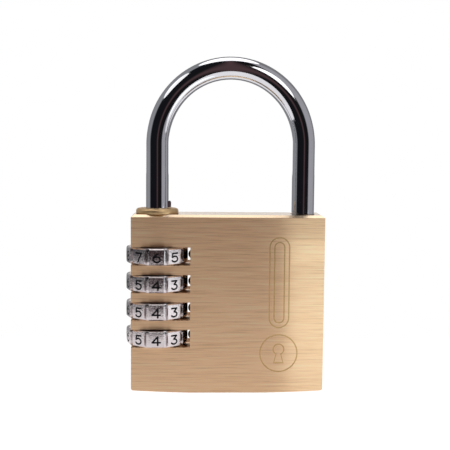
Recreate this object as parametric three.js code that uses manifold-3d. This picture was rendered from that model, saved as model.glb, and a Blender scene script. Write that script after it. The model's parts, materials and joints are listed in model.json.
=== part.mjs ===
// A four-dial combination padlock: a brass block, a U-shaped shackle that is held by four number dials on
// its long leg, and the sleeves, detents and spring that work inside. Millimetres, +Z up, front towards -Y.
// The origin is the middle of the flat foot of the block, with the block centred on X and Y.

import * as THREE from 'three';
import { mergeVertices } from 'three/addons/utils/BufferGeometryUtils.js';
import Module from 'manifold-3d';

const wasm = await Module();
wasm.setup();

// ---- Driving dimensions -----------------------------------------------------------------------------

const CLEARANCE = 0.3; // end gap between pieces that follow each other along an axis

const BODY = { width: 50, depth: 12, height: 46.45 };
const TOP_CHAMFER = { inward: 0.9, down: 0.6 };
const EDGE_CHAMFER = 0.3; // upright edges and underside
const FOOT = { width: 20, rise: 0.6 }; // flat middle of the underside, and how far its ends curve up
const FOOT_BENDS = [15, 19, 22]; // where the curved underside changes slope, either side of the middle

const HEEL_X = -18.45; // axis of the long leg and of the dials
const TOE_X = 19.8; // axis of the short leg
const ROD_RADIUS = 2.95;
const SHACKLE_TOP = 87.2;
const BEND_RISE = 19.8; // height of the bend's centre line above the straight legs
const HEEL_BOTTOM = 6;
const TOE_BOTTOM = 40.9;
const LIFT = 7; // how far the shackle rises when it opens

const DIAL_COUNT = 4;
const DIAL_PITCH = 7.15;
const TOP_DIAL_Z = 35.7; // middle of the top dial
const DIAL = { height: 4.3, crest: 8.1, groove: 7.3, hole: 5.0, notchRadius: 5.65, notchWidth: 1.9 };
const DIGITS = 10;
const PANEL_HALF_ANGLE = 13.7; // degrees, from the middle of a panel to its edge
const GROOVE_HALF_ANGLE = 2.6; // degrees, half of the flat bottom of a groove
const SLOT = { height: 4.7, endX: -9.7 };

const BORE = { radius: 5.0, floor: 3 };
const KEYWAY = { radius: 5.6, width: 2.0 }; // lets the teeth of the sleeves down the bore
const TOE_HOLE = { radius: 3.25, floor: 40 };

const SLEEVE = { radius: 4.8, recess: 4.1, bore: 3.2, ring: 1.9, rise: 3.35 }; // rise: top above dial middle
const SLEEVE_HEIGHT = DIAL_PITCH - CLEARANCE;
const GATE = { radius: 4.0, width: 2.0 };
const TOOTH = { radius: 5.4, width: 1.5, from: 0.3, height: 1.5 }; // from: its foot above the dial's middle

const LUG = { radius: 3.75, width: 1.5, height: 1.7, top: -0.75 }; // top: measured from the dial's middle
const NUB = { radius: 3.6, width: 1.6, foot: 48, height: 1.75 };

const COLLAR = { flange: 5.55, rounding: 0.65, shank: 4.75, bore: 3.2, underside: 46.5, top: 47.8 };

const BALL_RADIUS = 1.25;
const BALL_X = -9.0;
const DETENT_HOLE = { radius: 1.4, end: -3.4 };
const DETENT_SPRING = { coil: 0.9, wire: 0.18, turns: 5 };

const SEAT = { outer: 4.7, bore: 3.25, thickness: 1.3 };
const CHANGE_SPRING = { coil: 4.1, wire: 0.4, turns: 3 };

const ROUND = 32; // sides of a turned shape
const ROD = { sides: 20, bendSteps: 26 };
const BALL = { around: 14, upward: 10 }; // facets
const WIRE = { sides: 5, stepsPerTurn: 9 };
const HEAVY_WIRE = { sides: 6, stepsPerTurn: 16 };
const EPS = 0.5; // how far a cutting tool runs past the face it leaves through

// ---- Materials --------------------------------------------------------------------------------------

const finish = (color, roughness) =>
  new THREE.MeshStandardMaterial({ color, roughness, metalness: 1, flatShading: true });

const BRUSHED_BRASS = finish(0xc39a74, 0.45);
const POLISHED_BRASS = finish(0xd2a679, 0.2);
const CHROME = finish(0xd9d9de, 0.1);
const SATIN_SILVER = finish(0xb6b6ba, 0.35);
const PLAIN_STEEL = finish(0x9a9a9c, 0.4);
const SPRING_STEEL = finish(0x7f8286, 0.35);

// ---- Solids -----------------------------------------------------------------------------------------

/** Turns a closed three.js geometry into a manifold solid. */
function solid(geometry) {
  const bare = new THREE.BufferGeometry();
  bare.setAttribute('position', geometry.getAttribute('position').clone());
  bare.setIndex(geometry.getIndex());
  const merged = mergeVertices(bare, 1e-4);
  const index = merged.getIndex().array;
  const corners = [];
  for (let i = 0; i < index.length; i += 3) {
    const [a, b, c] = [index[i], index[i + 1], index[i + 2]];
    if (a !== b && b !== c && c !== a) corners.push(a, b, c);
  }
  const vertProperties = Float32Array.from(merged.getAttribute('position').array);
  const triVerts = Uint32Array.from(corners);
  return new wasm.Manifold(new wasm.Mesh({ numProp: 3, vertProperties, triVerts }));
}

/** Turns a manifold solid back into a named mesh. */
function meshOf(name, body, material) {
  const { vertProperties, triVerts } = body.getMesh();
  const geometry = new THREE.BufferGeometry();
  geometry.setAttribute('position', new THREE.BufferAttribute(vertProperties, 3));
  geometry.setIndex(new THREE.BufferAttribute(triVerts, 1));
  geometry.computeVertexNormals();
  const mesh = new THREE.Mesh(geometry, material);
  mesh.name = name;
  return mesh;
}

function box(low, high) {
  const size = high.map((h, i) => h - low[i]);
  const centre = high.map((h, i) => (h + low[i]) / 2);
  return solid(new THREE.BoxGeometry(...size).translate(...centre));
}

/** An upright cylinder on the axis (x, 0). */
function post(x, radius, bottom, top) {
  const geometry = new THREE.CylinderGeometry(radius, radius, top - bottom, ROUND);
  return solid(geometry.rotateX(Math.PI / 2).translate(x, 0, (top + bottom) / 2));
}

/** A closed [radius, z] profile turned about the upright axis through (x, 0). */
function turned(profile, x = 0) {
  const points = [...profile, profile[0]].map(([r, z]) => new THREE.Vector2(r, z));
  return solid(new THREE.LatheGeometry(points, ROUND).rotateX(Math.PI / 2).translate(x, 0, 0));
}

/** A flat outline pushed up from z = bottom to z = top. */
function prism(points, bottom, top) {
  const shape = new THREE.Shape(points.map(([x, y]) => new THREE.Vector2(x, y)));
  const options = { depth: top - bottom, bevelEnabled: false };
  return solid(new THREE.ExtrudeGeometry(shape, options).translate(0, 0, bottom));
}

/** A round wire or rod of the given radius along a curve. */
function rod(curve, radius, sides, steps) {
  const section = new THREE.Shape();
  for (let i = 0; i < sides; i += 1) {
    const angle = (2 * Math.PI * i) / sides;
    const point = [radius * Math.cos(angle), radius * Math.sin(angle)];
    if (i === 0) section.moveTo(...point);
    else section.lineTo(...point);
  }
  section.closePath();
  return new THREE.ExtrudeGeometry(section, { extrudePath: curve, steps, bevelEnabled: false });
}

const polar = (radius, degrees) => {
  const angle = THREE.MathUtils.degToRad(degrees);
  return [radius * Math.cos(angle), radius * Math.sin(angle)];
};

const dialZ = (i) => TOP_DIAL_Z - i * DIAL_PITCH;

// ---- Body block -------------------------------------------------------------------------------------

/** The block's outline seen from the front, as [x, z], with a bowed underside that is flat in its middle. */
function frontOutline() {
  const half = BODY.width / 2;
  const flat = FOOT.width / 2;
  const bow = (x) => (FOOT.rise * (x * x - flat * flat)) / (half * half - flat * flat);
  const corner = half - 2 * EDGE_CHAMFER;
  const underside = [flat, ...FOOT_BENDS, corner].map((x) => [x, bow(x)]);
  const right = [
    ...underside,
    [half, bow(half) + EDGE_CHAMFER],
    [half, BODY.height - TOP_CHAMFER.down],
    [half - TOP_CHAMFER.inward, BODY.height],
  ];
  const left = right.map(([x, z]) => [-x, z]).reverse();
  return [...right, ...left];
}

/** The block's outline seen from the side, as [y, z]. */
function sideOutline() {
  const half = BODY.depth / 2;
  const top = BODY.height + EPS;
  const slope = (TOP_CHAMFER.inward * EPS) / TOP_CHAMFER.down;
  const right = [
    [half - EDGE_CHAMFER, 0],
    [half, EDGE_CHAMFER],
    [half, BODY.height - TOP_CHAMFER.down],
    [half - TOP_CHAMFER.inward - slope, top],
  ];
  const left = right.map(([y, z]) => [-y, z]).reverse();
  return [...right, ...left];
}

/** The block's outline seen from above, as [x, y], with its four upright edges broken. */
function planOutline() {
  const [x, y, c] = [BODY.width / 2, BODY.depth / 2, EDGE_CHAMFER];
  return [
    [x - c, -y],
    [x, c - y],
    [x, y - c],
    [x - c, y],
    [c - x, y],
    [-x, y - c],
    [-x, c - y],
    [c - x, -y],
  ];
}

function bodyBlock() {
  const reach = BODY.width;
  const front = prism(frontOutline(), -reach, reach).rotate([90, 0, 0]);
  const side = prism(sideOutline(), -reach, reach).rotate([90, 0, 90]);
  const plan = prism(planOutline(), 0, BODY.height);
  let block = front.intersect(side).intersect(plan);

  const above = BODY.height + EPS;
  block = block.subtract(post(HEEL_X, BORE.radius, BORE.floor, above));
  block = block.subtract(post(TOE_X, TOE_HOLE.radius, TOE_HOLE.floor, above));
  const keywayLow = [HEEL_X, -KEYWAY.width / 2, dialZ(DIAL_COUNT - 1)];
  block = block.subtract(box(keywayLow, [HEEL_X + KEYWAY.radius, KEYWAY.width / 2, above]));

  for (let i = 0; i < DIAL_COUNT; i += 1) {
    const z = dialZ(i);
    const slotLow = [-BODY.width / 2 - EPS, -BODY.depth / 2 - EPS, z - SLOT.height / 2];
    const slotHigh = [SLOT.endX, BODY.depth / 2 + EPS, z + SLOT.height / 2];
    block = block.subtract(box(slotLow, slotHigh));
    const length = DETENT_HOLE.end - SLOT.endX + EPS;
    const drill = new THREE.CylinderGeometry(DETENT_HOLE.radius, DETENT_HOLE.radius, length, ROUND / 2);
    drill.rotateZ(Math.PI / 2).translate(DETENT_HOLE.end - length / 2, 0, z);
    block = block.subtract(solid(drill));
  }
  return meshOf('body_block', block, BRUSHED_BRASS);
}

// ---- Shackle ----------------------------------------------------------------------------------------

/** The rod's centre line, whose steps are one per straight leg and the rest along the slightly tall bend. */
class ShackleLine extends THREE.Curve {
  constructor() {
    super();
    this.steps = ROD.bendSteps + 2;
    this.reach = (TOE_X - HEEL_X) / 2;
    this.centre = new THREE.Vector3((TOE_X + HEEL_X) / 2, 0, SHACKLE_TOP - ROD_RADIUS - BEND_RISE);
  }

  getPoint(t) {
    const step = t * this.steps;
    const springing = this.centre.z;
    if (step <= 1) return new THREE.Vector3(HEEL_X, 0, THREE.MathUtils.lerp(HEEL_BOTTOM, springing, step));
    const last = this.steps - 1;
    const below = step - last;
    if (below >= 0) return new THREE.Vector3(TOE_X, 0, THREE.MathUtils.lerp(springing, TOE_BOTTOM, below));
    const angle = (Math.PI * (step - 1)) / (last - 1);
    const offset = new THREE.Vector3(-this.reach * Math.cos(angle), 0, BEND_RISE * Math.sin(angle));
    return offset.add(this.centre);
  }

  getPointAt(u) {
    return this.getPoint(u);
  }

  getTangentAt(u) {
    const step = u * this.steps;
    const angle = (Math.PI * THREE.MathUtils.clamp(step - 1, 0, this.steps - 2)) / (this.steps - 2);
    return new THREE.Vector3(this.reach * Math.sin(angle), 0, BEND_RISE * Math.cos(angle)).normalize();
  }
}

/** A block that stands out of the heel leg towards the toe leg. */
function legStud(radius, width, bottom, height) {
  return box([HEEL_X, -width / 2, bottom], [HEEL_X + radius, width / 2, bottom + height]);
}

function shackle() {
  const line = new ShackleLine();
  let bar = solid(rod(line, ROD_RADIUS, ROD.sides, line.steps));
  for (let i = 0; i < DIAL_COUNT; i += 1) {
    const bottom = dialZ(i) + LUG.top - LUG.height;
    bar = bar.add(legStud(LUG.radius, LUG.width, bottom, LUG.height));
  }
  bar = bar.add(legStud(NUB.radius, NUB.width, NUB.foot, NUB.height));
  return meshOf('shackle', bar, CHROME);
}

function shackleCollar() {
  const topLug = dialZ(0) + LUG.top;
  const stop = topLug + LIFT + CLEARANCE / 2;
  const bottom = dialZ(0) + SLEEVE.rise + CLEARANCE;
  const { flange, rounding, shank, bore, underside, top } = COLLAR;
  const bevel = [60, 30].map((a) => {
    const [r, z] = polar(rounding, a);
    return [flange - rounding + r, top - rounding + z];
  });
  const profile = [
    [SLEEVE.recess, bottom],
    [shank, bottom],
    [shank, underside],
    [flange, underside],
    [flange, top - rounding],
    ...bevel.reverse(),
    [flange - rounding, top],
    [bore, top],
    [bore, stop],
    [SLEEVE.recess, stop],
  ];
  return meshOf('shackle_collar', turned(profile, HEEL_X), POLISHED_BRASS);
}

// ---- Dials and sleeves ------------------------------------------------------------------------------

/** Ten flat panels with a groove between each two, as [x, y] about the dial's axis. */
function dialOutline() {
  const step = 360 / DIGITS;
  const points = [];
  for (let digit = 0; digit < DIGITS; digit += 1) {
    const middle = digit * step - 90;
    points.push(polar(DIAL.crest, middle - PANEL_HALF_ANGLE));
    points.push(polar(DIAL.crest, middle + PANEL_HALF_ANGLE));
    points.push(polar(DIAL.groove, middle + step / 2 - GROOVE_HALF_ANGLE));
    points.push(polar(DIAL.groove, middle + step / 2 + GROOVE_HALF_ANGLE));
  }
  return points;
}

function dial(i) {
  const z = dialZ(i);
  const [bottom, top] = [z - DIAL.height / 2, z + DIAL.height / 2];
  let wheel = prism(dialOutline(), bottom, top);
  wheel = wheel.subtract(post(0, DIAL.hole, bottom - EPS, top + EPS));
  wheel = wheel.subtract(post(0, DIAL.notchRadius, bottom - EPS, z));
  const half = DIAL.notchWidth / 2;
  const notch = box([0, -half, z - EPS], [DIAL.notchRadius, half, top + EPS]);
  for (let digit = 0; digit < DIGITS; digit += 1) {
    wheel = wheel.subtract(notch.rotate([0, 0, (360 * digit) / DIGITS]));
  }
  return meshOf(`dial_${i + 1}`, wheel.translate([HEEL_X, 0, 0]), SATIN_SILVER);
}

function clutchSleeve(i) {
  const top = dialZ(i) + SLEEVE.rise;
  const bottom = top - SLEEVE_HEIGHT;
  const shelf = top - SLEEVE.ring;
  const profile = [
    [SLEEVE.recess, bottom],
    [SLEEVE.radius, bottom],
    [SLEEVE.radius, top],
    [SLEEVE.bore, top],
    [SLEEVE.bore, shelf],
    [SLEEVE.recess, shelf],
  ];
  const foot = dialZ(i) + TOOTH.from;
  const wall = (SLEEVE.radius + SLEEVE.recess) / 2;
  const gate = box([0, -GATE.width / 2, shelf - EPS], [GATE.radius, GATE.width / 2, top + EPS]);
  const tooth = box([wall, -TOOTH.width / 2, foot], [TOOTH.radius, TOOTH.width / 2, foot + TOOTH.height]);
  const sleeve = turned(profile).subtract(gate).add(tooth);
  return meshOf(`clutch_sleeve_${i + 1}`, sleeve.translate([HEEL_X, 0, 0]), PLAIN_STEEL);
}

// ---- Springs, balls and spring seat -----------------------------------------------------------------

/** A helix about the Z axis from z = 0 to z = length. */
class Helix extends THREE.Curve {
  constructor(radius, length, turns) {
    super();
    this.radius = radius;
    this.length = length;
    this.turns = turns;
  }

  getPoint(t) {
    const angle = 2 * Math.PI * this.turns * t;
    return new THREE.Vector3(this.radius * Math.cos(angle), this.radius * Math.sin(angle), this.length * t);
  }
}

/** A coil spring whose wire just reaches z = 0 and z = length. */
function coil({ coil: radius, wire, turns }, length, { sides, stepsPerTurn }) {
  const helix = new Helix(radius, length - 2 * wire, turns);
  return rod(helix, wire, sides, turns * stepsPerTurn).translate(0, 0, wire);
}

function detentBall(i) {
  const geometry = new THREE.SphereGeometry(BALL_RADIUS, BALL.around, BALL.upward);
  return meshOf(`detent_ball_${i + 1}`, solid(geometry.translate(BALL_X, 0, dialZ(i))), CHROME);
}

function detentSpring(i) {
  const gap = CLEARANCE / 2;
  const start = BALL_X + BALL_RADIUS + gap;
  const length = DETENT_HOLE.end - gap - start;
  const geometry = coil(DETENT_SPRING, length, WIRE).rotateY(Math.PI / 2).translate(start, 0, dialZ(i));
  return meshOf(`detent_spring_${i + 1}`, solid(geometry), SPRING_STEEL);
}

const stackBottom = dialZ(DIAL_COUNT - 1) + SLEEVE.rise - SLEEVE_HEIGHT;
const seatTop = stackBottom - CLEARANCE;
const seatBottom = seatTop - SEAT.thickness;

function springSeat() {
  const { outer, bore } = SEAT;
  const profile = [
    [bore, seatBottom],
    [outer, seatBottom],
    [outer, seatTop],
    [bore, seatTop],
  ];
  return meshOf('spring_seat', turned(profile, HEEL_X), PLAIN_STEEL);
}

function codeChangeSpring() {
  const foot = BORE.floor + CLEARANCE / 2;
  const length = seatBottom - CLEARANCE / 2 - foot;
  const geometry = coil(CHANGE_SPRING, length, HEAVY_WIRE).translate(HEEL_X, 0, foot);
  return meshOf('code_change_spring', solid(geometry), SPRING_STEEL);
}

// ---- Assembly ---------------------------------------------------------------------------------------

const padlock = new THREE.Group();
padlock.name = 'combination_padlock';
padlock.add(bodyBlock(), shackle(), shackleCollar(), springSeat(), codeChangeSpring());
for (let i = 0; i < DIAL_COUNT; i += 1) {
  padlock.add(dial(i), clutchSleeve(i), detentBall(i), detentSpring(i));
}

export default padlock;
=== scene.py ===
"""Looks of a four-dial combination padlock: brushed brass block, chromed shackle, satin number dials.

Every length is in metres, in the frame of the CAD model: +X right, +Z up, front towards -Y.
"""

import json
import math

import bmesh
import bpy
from mathutils import Matrix, Vector

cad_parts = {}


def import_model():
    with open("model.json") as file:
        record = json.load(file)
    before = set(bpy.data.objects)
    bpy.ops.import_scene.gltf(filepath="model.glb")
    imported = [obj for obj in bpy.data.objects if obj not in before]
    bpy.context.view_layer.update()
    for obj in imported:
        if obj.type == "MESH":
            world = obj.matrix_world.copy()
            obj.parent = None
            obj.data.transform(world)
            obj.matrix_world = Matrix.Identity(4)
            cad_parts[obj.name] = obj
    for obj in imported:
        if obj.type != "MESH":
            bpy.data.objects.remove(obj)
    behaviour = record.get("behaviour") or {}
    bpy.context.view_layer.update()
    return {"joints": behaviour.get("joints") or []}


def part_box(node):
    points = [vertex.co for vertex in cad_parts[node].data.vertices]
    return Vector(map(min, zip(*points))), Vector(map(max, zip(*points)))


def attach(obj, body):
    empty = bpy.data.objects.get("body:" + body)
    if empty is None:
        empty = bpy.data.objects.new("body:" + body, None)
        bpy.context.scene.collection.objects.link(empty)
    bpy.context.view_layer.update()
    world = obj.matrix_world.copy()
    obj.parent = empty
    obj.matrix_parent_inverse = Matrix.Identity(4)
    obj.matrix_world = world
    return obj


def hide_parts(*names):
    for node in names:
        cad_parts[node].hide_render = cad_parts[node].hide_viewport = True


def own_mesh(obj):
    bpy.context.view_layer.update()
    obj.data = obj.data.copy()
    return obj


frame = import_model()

MM = 0.001
OVER = 1 * MM  # how far a cutter runs past the face it leaves through

# ---- Places that come from the frame -----------------------------------------------------------------

BODY_LOW, BODY_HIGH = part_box("body_block")
SHACKLE_LOW, SHACKLE_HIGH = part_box("shackle")
COLLAR_LOW, COLLAR_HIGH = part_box("shackle_collar")
BODY_TOP = BODY_HIGH.z
HALF_WIDTH = BODY_HIGH.x
HALF_DEPTH = BODY_HIGH.y
COUNT = 4
DIAL_BOXES = [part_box(f"dial_{i + 1}") for i in range(COUNT)]
DIAL_Z = [(low.z + high.z) / 2 for low, high in DIAL_BOXES]
HEEL_X = next(j for j in frame["joints"] if j["name"] == "dial_1_turn")["pos_m"][0]

# ---- Sizes that the frame's boxes don't give ---------------------------------------------------------

TOP_CHAMFER_IN = 0.9 * MM
TOP_CHAMFER_DOWN = 0.6 * MM
FOOT_HALF = 10 * MM
FOOT_RISE = 0.6 * MM
FOOT_STEPS = 14
CORNER = 0.6 * MM
EDGE_ROUNDING = 0.19 * MM
TOP_FACING = 0.3  # how far up a face of the block turns to count as its top
ROD_RADIUS = 2.95 * MM
BEND_RISE = 19.8 * MM
TOE_X = SHACKLE_HIGH.x - ROD_RADIUS
TOE_BOTTOM = 40.9 * MM
BORE_RADIUS = 5.0 * MM
BORE_FLOOR = 3.0 * MM
KEYWAY_RADIUS = 5.6 * MM
KEYWAY_HALF = 1.0 * MM
TOE_HOLE_RADIUS = 3.25 * MM
TOE_HOLE_FLOOR = 40.0 * MM
SLOT_HALF = 2.35 * MM
SLOT_END = -9.7 * MM
DETENT_HOLE_RADIUS = 1.4 * MM
DETENT_HOLE_END = -3.4 * MM

DIAL_HALF = 2.15 * MM
DIAL_CREST = 8.1 * MM
DIAL_GROOVE = 7.3 * MM
DIAL_HOLE = 5.0 * MM
NOTCH_RADIUS = 5.65 * MM
NOTCH_HALF = 0.95 * MM
PANEL_HALF_ANGLE = 13.7
GROOVE_HALF_ANGLE = 2.6
RIM = 0.3 * MM
CROWN = 0.06 * MM
DIGITS = 10
SHOWN_DIGITS = (6, 4, 4, 4)
REST_TURNS = (1.2, 0.5, 0.4, 0.4)
DIGIT_WIDTH = 2.1 * MM
DIGIT_HEIGHT = 2.2 * MM
DIGIT_DROP = 0.2 * MM
STROKE = 0.23 * MM

SLEEVE_RADIUS = 4.8 * MM
SLEEVE_RECESS = 4.1 * MM
SLEEVE_BORE = 3.2 * MM
SLEEVE_RING = 1.9 * MM
GATE_RADIUS = 4.0 * MM
GATE_HALF = 1.0 * MM
TOOTH_RADIUS = 5.4 * MM
TOOTH_HALF = 0.75 * MM
TOOTH_FOOT = 0.3 * MM
TOOTH_HEIGHT = 1.5 * MM

LUG_RADIUS = 3.75 * MM
LUG_HALF = 0.75 * MM
LUG_TOP = -0.75 * MM
LUG_HEIGHT = 1.7 * MM
LIFT = 7.0 * MM
NUB_RADIUS = 3.6 * MM
NUB_HALF = 0.8 * MM
NUB_FOOT = 48.0 * MM
NUB_HEIGHT = 1.75 * MM

COLLAR_SHANK = 4.75 * MM
COLLAR_BORE = 3.1 * MM
COLLAR_ROUNDING = 0.7 * MM

BALL_RADIUS = 1.25 * MM
DETENT_SPRING = (0.9 * MM, 0.18 * MM, 5)
CHANGE_SPRING = (4.1 * MM, 0.4 * MM, 3.5)
SEAT_BORE = 3.25 * MM

MARK_X = 13.35 * MM
MARK_LINE = 0.32 * MM
MARK_DEPTH = 0.08 * MM
MARK_BARS = ((2.7, 17.1, 40.9), (1.45, 18.35, 39.65))
RING_Z = 10.5 * MM
RING_RADIUS = 5.0 * MM

AIM = Vector((0, 0, 45 * MM))
CAMERA_PLACE = Vector((-8.79 * MM, -242.02 * MM, 65.45 * MM))
CAMERA_TURNS = (-1.925, 84.797, 0.5)
CAMERA_LENS = 73.875

STRIP_X = 47 * MM
STRIP_Y = -40 * MM
STRIP_WIDTH = 56 * MM

FLOOR_GLOW = 0.95
FLOOR_LEFT = -0.16
FLOOR_RIGHT = 0.4
FLOOR_FRONT = -0.12
FLOOR_BACK = 0.06

# ---- Meshes ------------------------------------------------------------------------------------------


def new_object(name, mesh, material=None):
    obj = bpy.data.objects.new(name, mesh)
    bpy.context.scene.collection.objects.link(obj)
    if material is not None:
        mesh.materials.append(material)
    return obj


def from_bmesh(name, bm, material=None):
    """Closes a bmesh into an object with its faces pointing out."""
    bmesh.ops.remove_doubles(bm, verts=bm.verts, dist=1e-7)
    bmesh.ops.recalc_face_normals(bm, faces=bm.faces)
    mesh = bpy.data.meshes.new(name)
    bm.to_mesh(mesh)
    bm.free()
    return new_object(name, mesh, material)


def stack(name, loops, material=None):
    """A closed solid through loops of the same number of points, with the first and last loops capped."""
    bm = bmesh.new()
    rings = [[bm.verts.new(p) for p in loop] for loop in loops]
    for low, high in zip(rings, rings[1:]):
        count = len(low)
        for k in range(count):
            n = (k + 1) % count
            bm.faces.new((low[k], low[n], high[n], high[k]))
    bm.faces.new(rings[0][::-1])
    bm.faces.new(rings[-1])
    return from_bmesh(name, bm, material)


def lathe(name, profile, centre_x=0.0, sides=96, material=None):
    """A closed profile of (radius, z) points turned about the upright axis through (centre_x, 0)."""
    bm = bmesh.new()
    rings = []
    for k in range(sides):
        angle = math.tau * k / sides
        c, s = math.cos(angle), math.sin(angle)
        rings.append([bm.verts.new((centre_x + r * c, r * s, z)) for r, z in profile])
    count = len(profile)
    for k in range(sides):
        here, there = rings[k], rings[(k + 1) % sides]
        for i in range(count):
            n = (i + 1) % count
            bm.faces.new((here[i], there[i], there[n], here[n]))
    return from_bmesh(name, bm, material)


def tube(name, points, radii, sides, material=None, closed=False):
    """A rod swept along points, with its own radius at each: a ring if closed, or else with flat ends."""
    points = [Vector(p) for p in points]
    last = len(points) - 1
    bm = bmesh.new()
    rings = []
    side = None
    for k, point in enumerate(points):
        before = points[k - 1] if closed else points[max(k - 1, 0)]
        after = points[(k + 1) % len(points)] if closed else points[min(k + 1, last)]
        tangent = (after - before).normalized()
        if side is None:
            side = tangent.orthogonal().normalized()
        side = (side - tangent * side.dot(tangent)).normalized()
        up = tangent.cross(side)
        ring = []
        for n in range(sides):
            angle = math.tau * n / sides
            ring.append(bm.verts.new(point + (side * math.cos(angle) + up * math.sin(angle)) * radii[k]))
        rings.append(ring)
    for k in range(len(points) if closed else last):
        here, there = rings[k], rings[(k + 1) % len(points)]
        for n in range(sides):
            m = (n + 1) % sides
            bm.faces.new((here[n], here[m], there[m], there[n]))
    if not closed:
        bm.faces.new(rings[0][::-1])
        bm.faces.new(rings[-1])
    return from_bmesh(name, bm, material)


def block(name, low, high, material=None):
    (x0, y0, z0), (x1, y1, z1) = low, high
    ring = [(x0, y0), (x1, y0), (x1, y1), (x0, y1)]
    return stack(name, [[(x, y, z) for x, y in ring] for z in (z0, z1)], material)


def cylinder(name, centre, radius, length, axis="Z", sides=96, material=None):
    """A cylinder about centre, along X or Z."""
    loops = []
    for end in (-length / 2, length / 2):
        loop = []
        for k in range(sides):
            c, s = radius * math.cos(math.tau * k / sides), radius * math.sin(math.tau * k / sides)
            local = Vector((c, s, end)) if axis == "Z" else Vector((end, c, s))
            loop.append(Vector(centre) + local)
        loops.append(loop)
    return stack(name, loops, material)


def combine(target, tools, operation="DIFFERENCE"):
    """Cuts the tools out of the target, or joins or intersects them, and removes the tools."""
    for tool in tools:
        modifier = target.modifiers.new("boolean", "BOOLEAN")
        modifier.operation = operation
        modifier.solver = "EXACT"
        modifier.material_mode = "TRANSFER"
        modifier.object = tool
    bake_modifiers(target)
    for tool in tools:
        bpy.data.objects.remove(tool)
    return target


def bake_modifiers(obj):
    """Applies every modifier to the object's mesh."""
    bpy.context.view_layer.update()
    evaluated = obj.evaluated_get(bpy.context.evaluated_depsgraph_get())
    mesh = bpy.data.meshes.new_from_object(evaluated)
    obj.modifiers.clear()
    obj.data = mesh
    return obj


def bevel(obj, width, segments=3, angle=32.0):
    """Rounds the sharp edges."""
    modifier = obj.modifiers.new("bevel", "BEVEL")
    modifier.width = width
    modifier.segments = segments
    modifier.limit_method = "ANGLE"
    modifier.angle_limit = math.radians(angle)
    modifier.use_clamp_overlap = True
    return bake_modifiers(obj)


def shade(obj, angle=32.0):
    """Shades smooth between the sharp edges, with large faces kept flat."""
    obj.data.polygons.foreach_set("use_smooth", [True] * len(obj.data.polygons))
    obj.data.set_sharp_from_angle(angle=math.radians(angle))
    normals = obj.modifiers.new("normals", "WEIGHTED_NORMAL")
    normals.keep_sharp = True
    return bake_modifiers(obj)


def arc(cx, cz, radius, start, end, steps):
    """Points of an arc in degrees, both ends included."""
    angles = [math.radians(start + (end - start) * k / steps) for k in range(steps + 1)]
    return [(cx + radius * math.cos(a), cz + radius * math.sin(a)) for a in angles]


def place(piece, body, slot, *nodes):
    """Hands a finished piece to its CAD body, instead of the CAD nodes it stands for."""
    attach(piece, body)
    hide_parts(*nodes)
    return piece


# ---- Materials ---------------------------------------------------------------------------------------


class Shader:
    """A principled material with the few node chains that the finishes share."""

    def __init__(self, name, **values):
        self.material = bpy.data.materials.new(name)
        self.material.use_nodes = True
        self.nodes = self.material.node_tree.nodes
        self.links = self.material.node_tree.links
        self.surface = self.nodes["Principled BSDF"]
        for socket, value in values.items():
            self.surface.inputs[socket.replace("_", " ")].default_value = value
        self.place = self.nodes.new("ShaderNodeTexCoord").outputs["Object"]

    def noise(self, scale, detail=3.0, roughness=0.6):
        """Noise in object space. Scale is waves per metre along X, Y and Z."""
        mapping = self.nodes.new("ShaderNodeMapping")
        mapping.inputs["Scale"].default_value = scale
        texture = self.nodes.new("ShaderNodeTexNoise")
        texture.inputs["Scale"].default_value = 1.0
        texture.inputs["Detail"].default_value = detail
        texture.inputs["Roughness"].default_value = roughness
        self.links.new(self.place, mapping.inputs["Vector"])
        self.links.new(mapping.outputs["Vector"], texture.inputs["Vector"])
        return texture.outputs["Fac"]

    def ramp(self, value, stops):
        """Colours along a value, as (position, colour) stops."""
        node = self.nodes.new("ShaderNodeValToRGB")
        elements = node.color_ramp.elements
        while len(elements) < len(stops):
            elements.new(0.5)
        for element, (position, colour) in zip(elements, stops):
            element.position = position
            element.color = (*colour, 1.0)
        self.links.new(value, node.inputs["Fac"])
        return node.outputs["Color"]

    def range(self, value, low, high):
        """Maps a noise value, whose middle part is 0.3 to 0.7, to low and high."""
        node = self.nodes.new("ShaderNodeMapRange")
        node.inputs["From Min"].default_value = 0.3
        node.inputs["From Max"].default_value = 0.7
        node.inputs["To Min"].default_value = low
        node.inputs["To Max"].default_value = high
        self.links.new(value, node.inputs["Value"])
        return node.outputs["Result"]

    def mix(self, a, b):
        """The mean of two values."""
        node = self.nodes.new("ShaderNodeMath")
        node.operation = "MULTIPLY_ADD"
        node.inputs[1].default_value = 0.5
        half = self.nodes.new("ShaderNodeMath")
        half.operation = "MULTIPLY"
        half.inputs[1].default_value = 0.5
        self.links.new(b, half.inputs[0])
        self.links.new(a, node.inputs[0])
        self.links.new(half.outputs[0], node.inputs[2])
        return node.outputs[0]

    def colour(self, socket):
        self.links.new(socket, self.surface.inputs["Base Color"])

    def roughness(self, socket):
        self.links.new(socket, self.surface.inputs["Roughness"])

    def bump(self, height, distance, strength=1.0):
        node = self.nodes.new("ShaderNodeBump")
        node.inputs["Strength"].default_value = strength
        node.inputs["Distance"].default_value = distance
        self.links.new(height, node.inputs["Height"])
        self.links.new(node.outputs["Normal"], self.surface.inputs["Normal"])

    def brushed_along(self, axis, rotation=0.0, amount=0.7):
        """Stretches highlights across the brushing, which runs round the given axis."""
        tangent = self.nodes.new("ShaderNodeTangent")
        tangent.direction_type = "RADIAL"
        tangent.axis = axis
        self.surface.inputs["Anisotropic"].default_value = amount
        self.surface.inputs["Anisotropic Rotation"].default_value = rotation
        self.links.new(tangent.outputs["Tangent"], self.surface.inputs["Tangent"])


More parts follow.
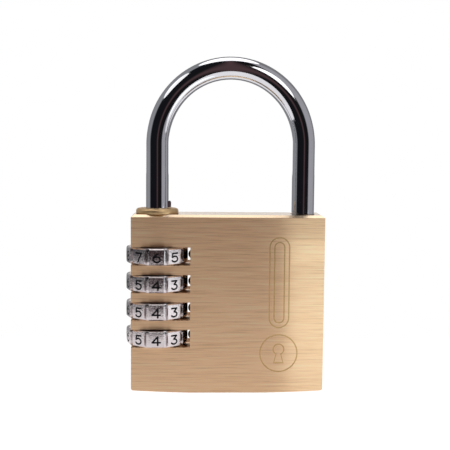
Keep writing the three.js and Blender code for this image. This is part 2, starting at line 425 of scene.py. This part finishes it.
def brushed_brass():
    shader = Shader("brushed_brass", Metallic=1.0)
    fine = shader.noise((130, 130, 4600), detail=3.0)
    broad = shader.noise((80, 80, 2600), detail=3.0)
    streaks = shader.mix(fine, broad)
    stops = [(0.36, (0.78, 0.505, 0.295)), (0.5, (0.98, 0.65, 0.39)), (0.64, (1.0, 0.76, 0.49))]
    shader.colour(shader.ramp(streaks, stops))
    shader.roughness(shader.range(fine, 0.35, 0.42))
    shader.bump(streaks, 0.00002, 0.5)
    shader.brushed_along("Z", rotation=0.25, amount=1.0)
    return shader.material


def smooth_brass():
    """The top of the block, which is less brushed than its sides."""
    shader = Shader("smooth_brass", Metallic=1.0)
    grain = shader.noise((900, 3000, 3000), detail=3.0)
    shader.colour(shader.ramp(grain, [(0.3, (0.66, 0.50, 0.34)), (0.7, (0.75, 0.575, 0.40))]))
    shader.roughness(shader.range(grain, 0.17, 0.24))
    shader.bump(grain, 0.00001, 0.4)
    return shader.material


def engraved_brass_painted_shade():
    shader = Shader("engraved_brass_painted_shade", Metallic=1.0)
    grain = shader.noise((2500, 2500, 2500))
    # The darker tan colour is painted shade in the engraved grooves; the rougher finish is the cut brass's
    # own.
    shader.colour(shader.ramp(grain, [(0.35, (0.52, 0.32, 0.14)), (0.65, (0.66, 0.42, 0.19))]))
    shader.roughness(shader.range(grain, 0.45, 0.6))
    shader.bump(grain, 0.00002)
    return shader.material


def polished_brass():
    shader = Shader("polished_brass", Metallic=1.0)
    turning = shader.noise((60, 60, 6000), detail=2.0)
    blotch = shader.noise((400, 400, 400))
    shader.colour(shader.ramp(blotch, [(0.3, (0.84, 0.57, 0.29)), (0.7, (0.93, 0.66, 0.36))]))
    shader.roughness(shader.range(turning, 0.40, 0.48))
    shader.bump(turning, 0.00001, 0.3)
    return shader.material


def chrome():
    shader = Shader("chrome", Metallic=1.0)
    haze = shader.noise((120, 120, 120))
    scratches = shader.noise((3000, 3000, 150), detail=2.0)
    shader.colour(shader.ramp(haze, [(0.3, (0.62, 0.62, 0.64)), (0.7, (0.68, 0.68, 0.70))]))
    shader.roughness(shader.range(haze, 0.05, 0.09))
    shader.bump(scratches, 0.000004, 0.4)
    return shader.material


def satin_silver():
    shader = Shader("satin_silver", Metallic=1.0)
    grain = shader.noise((2600, 2600, 2600), detail=4.0)
    wear = shader.noise((500, 500, 500))
    shader.colour(shader.ramp(wear, [(0.3, (0.54, 0.49, 0.49)), (0.7, (0.66, 0.60, 0.60))]))
    shader.roughness(shader.range(wear, 0.15, 0.26))
    shader.bump(shader.mix(grain, wear), 0.00008, 1.0)
    return shader.material


def black_paint():
    shader = Shader("black_paint", Metallic=0.0, Specular_IOR_Level=0.15)
    grain = shader.noise((3500, 3500, 3500))
    shader.colour(shader.ramp(grain, [(0.3, (0.004, 0.004, 0.005)), (0.7, (0.012, 0.012, 0.014))]))
    shader.roughness(shader.range(grain, 0.4, 0.6))
    shader.bump(grain, 0.00002, 0.4)
    return shader.material


def steel(name, dark, light, low, high):
    """Machined steel: two colours that the grain moves between, and a roughness range."""
    shader = Shader(name, Metallic=1.0)
    grain = shader.noise((900, 900, 4000), detail=3.0)
    shader.colour(shader.ramp(grain, [(0.3, dark), (0.7, light)]))
    shader.roughness(shader.range(grain, low, high))
    shader.bump(grain, 0.00001, 0.5)
    return shader.material


BRASS = brushed_brass()
TOP_BRASS = smooth_brass()
# Brass for the engraved marks, darkened to paint the shade in their grooves.
SHADED_ENGRAVING = engraved_brass_painted_shade()
POLISHED = polished_brass()
CHROME = chrome()
SILVER = satin_silver()
PAINT = black_paint()
PLAIN_STEEL = steel("plain_steel", (0.36, 0.36, 0.37), (0.52, 0.52, 0.53), 0.3, 0.45)
SPRING_STEEL = steel("spring_steel", (0.22, 0.22, 0.24), (0.38, 0.38, 0.40), 0.2, 0.35)
# The ball's steel is coloured near black: painted shade for the dark end of the dial slot where the ball
# sits.
SHADED_BALL_STEEL = steel("ball_steel_painted_shade", (0.03, 0.03, 0.035), (0.06, 0.06, 0.065), 0.35, 0.5)

# ---- Body block --------------------------------------------------------------------------------------


def front_outline():
    """The block from the front, as (x, z), with its bowed underside and rounded lower corners."""

    def bow(x):
        return FOOT_RISE * (x * x - FOOT_HALF**2) / (HALF_WIDTH**2 - FOOT_HALF**2)

    end = HALF_WIDTH - CORNER
    right = []
    for k in range(FOOT_STEPS + 1):
        x = FOOT_HALF + (end - FOOT_HALF) * k / FOOT_STEPS
        right.append((x, bow(x)))
    right += arc(end, bow(end) + CORNER, CORNER, -90, 0, 5)[1:]
    right.append((HALF_WIDTH, BODY_TOP - TOP_CHAMFER_DOWN))
    right.append((HALF_WIDTH - TOP_CHAMFER_IN, BODY_TOP))
    return right + [(-x, z) for x, z in reversed(right)]


def side_outline():
    """The block from the side, as (y, z), with its chamfers run on past its top."""
    chamfer_foot = BODY_TOP - TOP_CHAMFER_DOWN
    right = [(HALF_DEPTH, -OVER), (HALF_DEPTH, chamfer_foot)]
    run = 1 + OVER / TOP_CHAMFER_DOWN
    right.append((HALF_DEPTH - TOP_CHAMFER_IN * run, chamfer_foot + TOP_CHAMFER_DOWN * run))
    return right + [(-y, z) for y, z in reversed(right)]


def frame_prism(name, outer, inner, y0, y1, material):
    """A closed frame between two loops of (x, z) with the same number of points, from y0 to y1."""
    bm = bmesh.new()
    rings = []
    for (ox, oz), (ix, iz) in zip(outer, inner):
        rings.append([bm.verts.new(p) for p in ((ox, y0, oz), (ox, y1, oz), (ix, y1, iz), (ix, y0, iz))])
    for here, there in zip(rings, rings[1:] + rings[:1]):
        for n in range(4):
            m = (n + 1) % 4
            bm.faces.new((here[n], here[m], there[m], there[n]))
    return from_bmesh(name, bm, material)


def capsule(cx, low, high, half):
    """An upright bar with round ends, as (x, z)."""
    top = arc(cx, high - half, half, 0, 180, 16)
    bottom = arc(cx, low + half, half, 180, 360, 16)
    return top + bottom


def front_marks():
    """A generic engraving down the right of the front: a long double bar over a ring with a keyhole."""
    pairs = []
    for half, low, high in MARK_BARS:
        outer = capsule(MARK_X, low * MM, high * MM, half * MM)
        inner = capsule(MARK_X, low * MM + MARK_LINE, high * MM - MARK_LINE, half * MM - MARK_LINE)
        pairs.append((outer, inner))
    pairs.append([arc(MARK_X, RING_Z, r, 0, 357.5, 143) for r in (RING_RADIUS, RING_RADIUS - MARK_LINE)])
    pairs.append([keyhole(MARK_X, RING_Z, inset) for inset in (0, MARK_LINE)])
    front, back = -HALF_DEPTH - MARK_DEPTH, -HALF_DEPTH + MARK_DEPTH
    return [frame_prism("mark", outer, inner, front, back, SHADED_ENGRAVING) for outer, inner in pairs]


def keyhole(cx, cz, inset):
    """A keyhole's outline, as (x, z), drawn in by inset."""
    head = 1.55 * MM - inset
    neck = 0.75 * MM - inset * 0.8
    foot = 1.35 * MM - inset
    head_z = cz + 1.0 * MM
    bottom = cz - 2.7 * MM + inset
    start = math.degrees(math.asin(neck / head))
    points = arc(cx, head_z, head, start - 90, 270 - start, 28)
    return points + [(cx - foot, bottom), (cx + foot, bottom)]


def drill(name, x, radius, floor):
    """A cutter for an upright hole from the top of the block down to its floor."""
    top = BODY_TOP + OVER
    return cylinder(name, (x, 0, (floor + top) / 2), radius, top - floor)


def body():
    """The brass block: its two outlines intersected, and then the bores, slots and detent holes cut out."""
    front, side = front_outline(), side_outline()
    faces = [[(x, y, z) for x, z in front] for y in (-HALF_DEPTH, HALF_DEPTH)]
    obj = stack("body_block_shell", faces, BRASS)
    reach = HALF_WIDTH + OVER
    across = stack("side", [[(x, y, z) for y, z in side] for x in (-reach, reach)], BRASS)
    combine(obj, [across], "INTERSECT")
    keyway_end = (HEEL_X + KEYWAY_RADIUS, KEYWAY_HALF, BODY_TOP + OVER)
    tools = [
        drill("bore", HEEL_X, BORE_RADIUS, BORE_FLOOR),
        drill("toe_hole", TOE_X, TOE_HOLE_RADIUS, TOE_HOLE_FLOOR),
        block("keyway", (HEEL_X, -KEYWAY_HALF, DIAL_Z[-1]), keyway_end),
    ]
    for z in DIAL_Z:
        low = (-HALF_WIDTH - OVER, -HALF_DEPTH - OVER, z - SLOT_HALF)
        tools.append(block("slot", low, (SLOT_END, HALF_DEPTH + OVER, z + SLOT_HALF)))
        length = DETENT_HOLE_END - SLOT_END + OVER
        centre = (DETENT_HOLE_END - length / 2, 0, z)
        tools.append(cylinder("detent_hole", centre, DETENT_HOLE_RADIUS, length, "X", 48))
    for tool in tools:
        tool.data.materials.append(BRASS)
    combine(obj, tools)
    bevel(obj, EDGE_ROUNDING)
    obj.data.materials.append(TOP_BRASS)
    for face in obj.data.polygons:
        if face.normal.z > TOP_FACING and face.center.z > BODY_TOP - OVER:
            face.material_index = len(obj.data.materials) - 1
    combine(obj, front_marks())
    shade(obj)
    return place(obj, "lock_body", "brushed_brass", "body_block")


# ---- Shackle and collar ------------------------------------------------------------------------------


def shackle():
    reach = (TOE_X - HEEL_X) / 2
    middle = (TOE_X + HEEL_X) / 2
    springing = SHACKLE_HIGH.z - ROD_RADIUS - BEND_RISE
    bend = [(middle + x * reach, springing + z * BEND_RISE) for x, z in arc(0, 0, 1, 180, 0, 128)]
    line = [(HEEL_X, 0, SHACKLE_LOW.z), (HEEL_X, 0, SHACKLE_LOW.z + 0.5 * MM), (HEEL_X, 0, springing - MM)]
    line += [(x, 0, z) for x, z in bend]
    line += [(TOE_X, 0, springing - MM), (TOE_X, 0, TOE_BOTTOM + 0.7 * MM), (TOE_X, 0, TOE_BOTTOM)]
    radii = [ROD_RADIUS] * len(line)
    radii[0] = ROD_RADIUS - 0.5 * MM
    radii[-1] = ROD_RADIUS - 0.7 * MM
    bar = tube("shackle_bar", line, radii, 96, CHROME)
    studs = []
    for z in DIAL_Z:
        top = z + LUG_TOP
        studs.append(stud(LUG_RADIUS, LUG_HALF, top - LUG_HEIGHT, top, 0.15 * MM))
    studs.append(stud(NUB_RADIUS, NUB_HALF, NUB_FOOT, NUB_FOOT + NUB_HEIGHT, 0.45 * MM))
    combine(bar, studs, "UNION")
    shade(bar)
    return place(bar, "shackle", "chrome", "shackle")


def stud(radius, half, bottom, top, rounding):
    """A block standing out of the heel leg towards the toe leg, with its outer upper corner rounded."""
    outer = HEEL_X + radius
    inner = HEEL_X + ROD_RADIUS - MM
    outline = [(inner, bottom), (outer - 0.12 * MM, bottom), (outer, bottom + 0.12 * MM)]
    outline += arc(outer - rounding, top - rounding, rounding, 0, 90, 6)
    outline.append((inner, top))
    obj = stack("stud", [[(x, y, z) for x, z in outline] for y in (-half, half)], CHROME)
    return bevel(obj, 0.08 * MM, 2)


def collar():
    low, high = COLLAR_LOW.z, COLLAR_HIGH.z
    flange = (COLLAR_HIGH.x - COLLAR_LOW.x) / 2
    rounding, bore = COLLAR_ROUNDING, COLLAR_BORE
    under = BODY_TOP + 0.02 * MM
    stop = DIAL_Z[0] + LUG_TOP + LIFT + 0.15 * MM
    profile = [(SLEEVE_RECESS, low), (COLLAR_SHANK, low), (COLLAR_SHANK, under)]
    profile += arc(flange - 0.12 * MM, under + 0.12 * MM, 0.12 * MM, -90, 0, 3)
    profile += arc(flange - rounding, high - rounding, rounding, 0, 90, 10)
    profile += [(bore + 0.2 * MM, high), (bore, high - 0.15 * MM), (bore, stop), (SLEEVE_RECESS, stop)]
    obj = lathe("shackle_collar_bush", profile, HEEL_X, 128, POLISHED)
    shade(obj)
    return place(obj, "lock_body", "polished_brass", "shackle_collar")


# ---- Dials -------------------------------------------------------------------------------------------


def on_dial(radius, degrees, z):
    """A point about the dial's own axis, with degrees from the front towards the right."""
    angle = math.radians(degrees)
    return Vector((radius * math.sin(angle), -radius * math.cos(angle), z))


def dial_loop(inset, z):
    """One level of a dial's outside: ten flat panels and the grooves between them."""
    step = 360 / DIGITS
    crest, groove = DIAL_CREST - inset, DIAL_GROOVE - inset * 0.4
    loop = []
    for digit in range(DIGITS):
        middle = digit * step
        loop.append(on_dial(crest, middle - PANEL_HALF_ANGLE, z))
        loop.append(on_dial(crest, middle + PANEL_HALF_ANGLE, z))
        loop.append(on_dial(groove, middle + step / 2 - GROOVE_HALF_ANGLE, z))
        loop.append(on_dial(groove, middle + step / 2 + GROOVE_HALF_ANGLE, z))
    return loop


def turn(cx, cz, rx, rz, start, end):
    """Points of an elliptic arc, in degrees."""
    steps = max(4, round(abs(end - start) / 20))
    angles = [math.radians(start + (end - start) * k / steps) for k in range(steps + 1)]
    return [(cx + rx * math.cos(a), cz + rz * math.sin(a)) for a in angles]


def half_turned(strokes):
    return [[(-x, -z) for x, z in stroke] for stroke in strokes]


SIX = [turn(0, -0.17, 0.42, 0.33, 0, 360), turn(0.25, -0.17, 0.67, 0.67, 178, 100)]
NUMERALS = [
    [turn(0, 0, 0.42, 0.5, 0, 360)],
    [[(0.05, -0.5), (0.05, 0.5)], [(0.05, 0.5), (-0.25, 0.22)]],
    [turn(0, 0.2, 0.41, 0.3, 165, -25) + [(-0.42, -0.5)], [(-0.42, -0.5), (0.44, -0.5)]],
    [[(-0.38, 0.5), (0.36, 0.5)], [(0.36, 0.5), (-0.04, 0.1)], turn(-0.02, -0.2, 0.42, 0.3, 92, -150)],
    [[(0.2, -0.5), (0.2, 0.5)], [(0.2, 0.5), (-0.47, -0.2)], [(-0.47, -0.2), (0.5, -0.2)]],
    [[(0.4, 0.5), (-0.3, 0.5)], [(-0.3, 0.5), (-0.36, 0.04)], turn(-0.01, -0.17, 0.43, 0.33, 142, -150)],
    SIX,
    [[(-0.42, 0.5), (0.42, 0.5)], [(0.42, 0.5), (-0.12, -0.5)]],
    [turn(0, 0.26, 0.35, 0.24, 0, 360), turn(0, -0.24, 0.43, 0.26, 0, 360)],
    half_turned(SIX),
]


def stroke_cutter(stroke, matrix):
    """A round-nosed rod along a stroke of a numeral, which cuts a half-round groove."""
    points = [matrix @ Vector((x * DIGIT_WIDTH, 0, z * DIGIT_HEIGHT)) for x, z in stroke]
    if (points[0] - points[-1]).length < STROKE / 10:
        return tube("stroke", points[:-1], [STROKE] * (len(points) - 1), 16, PAINT, closed=True)
    radii = [STROKE] * len(points)
    first = (points[0] - points[1]).normalized()
    final = (points[-1] - points[-2]).normalized()
    head, tail, nose = [], [], []
    for degrees in (35, 65, 85):
        reach = STROKE * math.sin(math.radians(degrees))
        nose.append(STROKE * math.cos(math.radians(degrees)))
        head.append(points[0] + first * reach)
        tail.append(points[-1] + final * reach)
    return tube("stroke", head[::-1] + points + tail, nose[::-1] + radii + nose, 16, PAINT)


def dial_wheel():
    """A dial about its own centre, with 0 in front, before it is turned to its digit."""
    half = DIAL_HALF
    levels = [(CROWN * (k / 3) ** 2, (half - RIM) * k / 3) for k in range(-3, 4)]
    levels = [(RIM + CROWN, -half), *levels, (RIM + CROWN, half)]
    obj = stack("dial_wheel", [dial_loop(inset, height) for inset, height in levels], SILVER)
    tools = [
        cylinder("hole", (0, 0, 0), DIAL_HOLE, 4 * half, material=SILVER),
        cylinder("counterbore", (0, 0, -half), NOTCH_RADIUS, 2 * half, material=SILVER),
    ]
    for k in range(DIGITS):
        notch = block("notch", (0, -NOTCH_HALF, -MM), (NOTCH_RADIUS, NOTCH_HALF, 2 * half), SILVER)
        notch.data.transform(Matrix.Rotation(math.tau * k / DIGITS, 4, "Z"))
        tools.append(notch)
    combine(obj, tools)
    bevel(obj, 0.06 * MM, 2)
    apothem = DIAL_CREST * math.cos(math.radians(PANEL_HALF_ANGLE))
    face = Matrix.Translation((0, -apothem, -DIGIT_DROP))
    strokes = []
    for digit, numeral in enumerate(NUMERALS):
        spin = Matrix.Rotation(-math.tau * digit / DIGITS, 4, "Z")
        strokes += [stroke_cutter(stroke, spin @ face) for stroke in numeral]
    combine(obj, strokes)
    return shade(obj)


def dials():
    wheel = dial_wheel()
    for i in range(COUNT):
        obj = wheel.copy()
        obj.data = wheel.data.copy()
        obj.name = f"dial_{i + 1}_wheel"
        bpy.context.scene.collection.objects.link(obj)
        angle = math.radians(360 / DIGITS * SHOWN_DIGITS[i] + REST_TURNS[i])
        obj.data.transform(Matrix.Translation((HEEL_X, 0, DIAL_Z[i])) @ Matrix.Rotation(angle, 4, "Z"))
        place(obj, f"dial_{i + 1}", "satin_silver", f"dial_{i + 1}")
    bpy.data.objects.remove(wheel)


# ---- Inner pieces ------------------------------------------------------------------------------------


def sleeve(i):
    low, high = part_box(f"clutch_sleeve_{i + 1}")
    shelf = high.z - SLEEVE_RING
    c = 0.15 * MM
    profile = [
        (SLEEVE_RECESS, low.z),
        (SLEEVE_RADIUS - c, low.z),
        (SLEEVE_RADIUS, low.z + c),
        (SLEEVE_RADIUS, high.z - c),
        (SLEEVE_RADIUS - c, high.z),
        (SLEEVE_BORE + c, high.z),
        (SLEEVE_BORE, high.z - c),
        (SLEEVE_BORE, shelf),
        (SLEEVE_RECESS, shelf),
    ]
    obj = lathe(f"clutch_sleeve_{i + 1}_turned", profile, HEEL_X, 96, PLAIN_STEEL)
    gate_end = (HEEL_X + GATE_RADIUS, GATE_HALF, high.z + OVER)
    gate = block("gate", (HEEL_X, -GATE_HALF, shelf - OVER), gate_end, PLAIN_STEEL)
    combine(obj, [gate])
    foot = DIAL_Z[i] + TOOTH_FOOT
    wall = HEEL_X + (SLEEVE_RADIUS + SLEEVE_RECESS) / 2
    tooth_end = (HEEL_X + TOOTH_RADIUS, TOOTH_HALF, foot + TOOTH_HEIGHT)
    tooth = block("tooth", (wall, -TOOTH_HALF, foot), tooth_end, PLAIN_STEEL)
    combine(obj, [tooth], "UNION")
    shade(obj)
    return place(obj, f"clutch_{i + 1}", "plain_steel", f"clutch_sleeve_{i + 1}")


def ball(i):
    low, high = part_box(f"detent_ball_{i + 1}")
    centre = (low + high) / 2
    bm = bmesh.new()
    bmesh.ops.create_icosphere(bm, subdivisions=5, radius=BALL_RADIUS)
    bmesh.ops.translate(bm, verts=bm.verts, vec=centre)
    # The near-black colour on the ball is painted shade from the slot's end, not the steel's own colour.
    obj = from_bmesh(f"detent_ball_{i + 1}_steel", bm, SHADED_BALL_STEEL)
    shade(obj)
    return place(obj, f"detent_{i + 1}", "chrome", f"detent_ball_{i + 1}")


def coil(name, start, direction, length, spring):
    """A compression spring of (coil radius, wire radius, turns) from start, with closed end turns."""
    radius, wire, turns = spring
    direction = Vector(direction)
    side = direction.orthogonal().normalized()
    up = direction.cross(side)
    steps = int(turns * 28)
    closed = 0.9 / turns
    rise = 2.2 * wire
    points = []
    for k in range(steps + 1):
        t = k / steps
        angle = math.tau * turns * t
        if t < closed:
            along = wire + rise * t / closed
        elif t > 1 - closed:
            along = length - wire - rise * (1 - t) / closed
        else:
            share = (t - closed) / (1 - 2 * closed)
            along = wire + rise + (length - 2 * wire - 2 * rise) * share
        out = side * math.cos(angle) + up * math.sin(angle)
        points.append(Vector(start) + direction * along + out * radius)
    return shade(tube(name, points, [wire] * len(points), 12, SPRING_STEEL))


def detent_spring(i):
    low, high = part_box(f"detent_spring_{i + 1}")
    start = (low.x, 0, DIAL_Z[i])
    obj = coil(f"detent_spring_{i + 1}_coil", start, (1, 0, 0), high.x - low.x, DETENT_SPRING)
    place(obj, "lock_body", "spring_steel", f"detent_spring_{i + 1}")
    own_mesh(obj)


def change_spring():
    low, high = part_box("code_change_spring")
    start = (HEEL_X, 0, low.z)
    obj = coil("code_change_spring_coil", start, (0, 0, 1), high.z - low.z, CHANGE_SPRING)
    place(obj, "lock_body", "spring_steel", "code_change_spring")
    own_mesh(obj)


def seat():
    low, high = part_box("spring_seat")
    c = 0.12 * MM
    inner, outer = SEAT_BORE, (high.x - low.x) / 2
    profile = [
        (inner, low.z + c),
        (inner + c, low.z),
        (outer - c, low.z),
        (outer, low.z + c),
        (outer, high.z - c),
        (outer - c, high.z),
        (inner + c, high.z),
        (inner, high.z - c),
    ]
    obj = lathe("spring_seat_washer", profile, HEEL_X, 96, PLAIN_STEEL)
    shade(obj)
    return place(obj, "seat", "plain_steel", "spring_seat")


# ---- Studio ------------------------------------------------------------------------------------------


def floor():
    """A pale, evenly lit table."""
    shader = Shader("table_white", Roughness=0.6)
    shader.surface.inputs["Base Color"].default_value = (0.3, 0.3, 0.3, 1.0)
    shader.surface.inputs["Emission Color"].default_value = (0.97, 0.96, 0.98, 1.0)
    shader.surface.inputs["Emission Strength"].default_value = FLOOR_GLOW
    loops = []
    for z in (-0.01, 0.0):
        corners = [(x, y) for x in (FLOOR_LEFT, FLOOR_RIGHT) for y in (FLOOR_FRONT, FLOOR_BACK)]
        loops.append([(*corners[k], z) for k in (0, 2, 3, 1)])
    stack("table", loops, shader.material)


def softbox(name, roll, lift, distance, width, height, radiance, tint=(1.0, 1.0, 1.0)):
    """An oval light aimed at the lock. Lift starts at the front and rises over it, rolled to the right."""
    a, b = math.radians(roll), math.radians(lift)
    back = Vector((math.sin(b) * math.sin(a), -math.cos(b), math.sin(b) * math.cos(a)))
    across = Vector((math.cos(a), 0, -math.sin(a)))
    light = card(name, AIM + back * distance, across, back, width, height, radiance, tint)
    light.data.shape = "ELLIPSE"
    return light


def card(name, centre, across, back, width, height, radiance, tint=(1.0, 1.0, 1.0)):
    """A rectangular light that faces away from back, with its width along across."""
    light = bpy.data.lights.new(name, "AREA")
    light.shape = "RECTANGLE"
    light.size = width
    light.size_y = height
    light.energy = radiance * math.pi * width * height
    light.color = tint
    obj = bpy.data.objects.new(name, light)
    bpy.context.scene.collection.objects.link(obj)
    turn = Matrix((across, back.cross(across), back)).transposed().to_4x4()
    obj.matrix_world = Matrix.Translation(centre) @ turn
    obj.visible_camera = False
    return obj


def world():
    """White for the camera; reflections see a room dark in front and grey at the sides and back."""
    scene_world = bpy.data.worlds.new("studio")
    scene_world.use_nodes = True
    bpy.context.scene.world = scene_world
    nodes, links = scene_world.node_tree.nodes, scene_world.node_tree.links
    background = nodes["Background"]
    direction = nodes.new("ShaderNodeTexCoord").outputs["Generated"]
    parts = nodes.new("ShaderNodeSeparateXYZ")
    links.new(direction, parts.inputs[0])
    flip = nodes.new("ShaderNodeMath")
    flip.operation = "MULTIPLY"
    flip.inputs[1].default_value = -1.0
    links.new(parts.outputs["Y"], flip.inputs[0])
    turn = nodes.new("ShaderNodeMath")
    turn.operation = "ARCTAN2"
    links.new(parts.outputs["X"], turn.inputs[0])
    links.new(flip.outputs[0], turn.inputs[1])
    share = nodes.new("ShaderNodeMapRange")
    share.inputs["From Min"].default_value = -math.pi
    share.inputs["From Max"].default_value = math.pi
    links.new(turn.outputs[0], share.inputs["Value"])
    walls = nodes.new("ShaderNodeValToRGB")
    stops = [
        (-180, (0.26, 0.26, 0.27)),
        (-84, (0.36, 0.37, 0.39)),
        (-70, (0.008, 0.009, 0.012)),
        (-8, (0.010, 0.010, 0.012)),
        (2, (0.10, 0.06, 0.065)),
        (12, (0.010, 0.009, 0.010)),
        (42, (0.008, 0.008, 0.009)),
        (52, (0.46, 0.45, 0.49)),
        (110, (0.42, 0.42, 0.45)),
        (125, (0.25, 0.25, 0.26)),
        (180, (0.26, 0.26, 0.27)),
    ]
    elements = walls.color_ramp.elements
    while len(elements) < len(stops):
        elements.new(0.5)
    for element, (azimuth, colour) in zip(elements, stops):
        element.position = (azimuth + 180) / 360
        element.color = (*colour, 1.0)
    links.new(share.outputs["Result"], walls.inputs["Fac"])
    seen = nodes.new("ShaderNodeLightPath").outputs["Is Camera Ray"]
    choose = nodes.new("ShaderNodeMix")
    choose.data_type = "RGBA"
    links.new(seen, choose.inputs["Factor"])
    links.new(walls.outputs["Color"], choose.inputs["A"])
    choose.inputs["B"].default_value = (1.0, 1.0, 1.0, 1.0)
    links.new(choose.outputs["Result"], background.inputs["Color"])


def lights():
    """Three oval boxes round the lock, two cards by its right front, and a low card behind it."""
    softbox("overhead", 0, 100, 0.6, 0.46, 0.54, 1.3)
    softbox("left_box", -42.5, 74.5, 0.8, 0.345, 0.53, 1.15)
    softbox("right_box", 36.5, 46, 0.8, 0.37, 0.46, 1.5)
    for name, middle, height, radiance in (("front_strip", 20, 44, 0.95), ("front_strip_top", 37, 10, 0.9)):
        centre = Vector((STRIP_X, STRIP_Y, middle * MM))
        across, back = Vector((1, 0, 0)), Vector((0, -1, 0))
        strip = card(name, centre, across, back, STRIP_WIDTH, height * MM, radiance, (0.8, 0.97, 1.0))
        strip.visible_diffuse = False
    centre, size = Vector((0, 450 * MM, 85 * MM)), (500 * MM, 90 * MM)
    glow = card("back_strip", centre, Vector((1, 0, 0)), Vector((0, 1, 0)), *size, 0.8)
    glow.visible_diffuse = False


def camera():
    """A camera nearly square to the front, a little right of the dials and looking slightly down."""
    data = bpy.data.cameras.new("camera")
    data.lens = CAMERA_LENS
    data.sensor_width = 36
    obj = bpy.data.objects.new("camera", data)
    bpy.context.scene.collection.objects.link(obj)
    yaw, tilt, roll = (Matrix.Rotation(math.radians(a), 4, axis) for a, axis in zip(CAMERA_TURNS, "ZXZ"))
    obj.matrix_world = Matrix.Translation(CAMERA_PLACE) @ yaw @ tilt @ roll
    bpy.context.scene.camera = obj


# ---- Build -------------------------------------------------------------------------------------------

camera()
world()
lights()
floor()
bpy.context.scene.view_settings.view_transform = "Standard"

body()
shackle()
collar()
seat()
change_spring()
dials()
for index in range(COUNT):
    sleeve(index)
    ball(index)
    detent_spring(index)
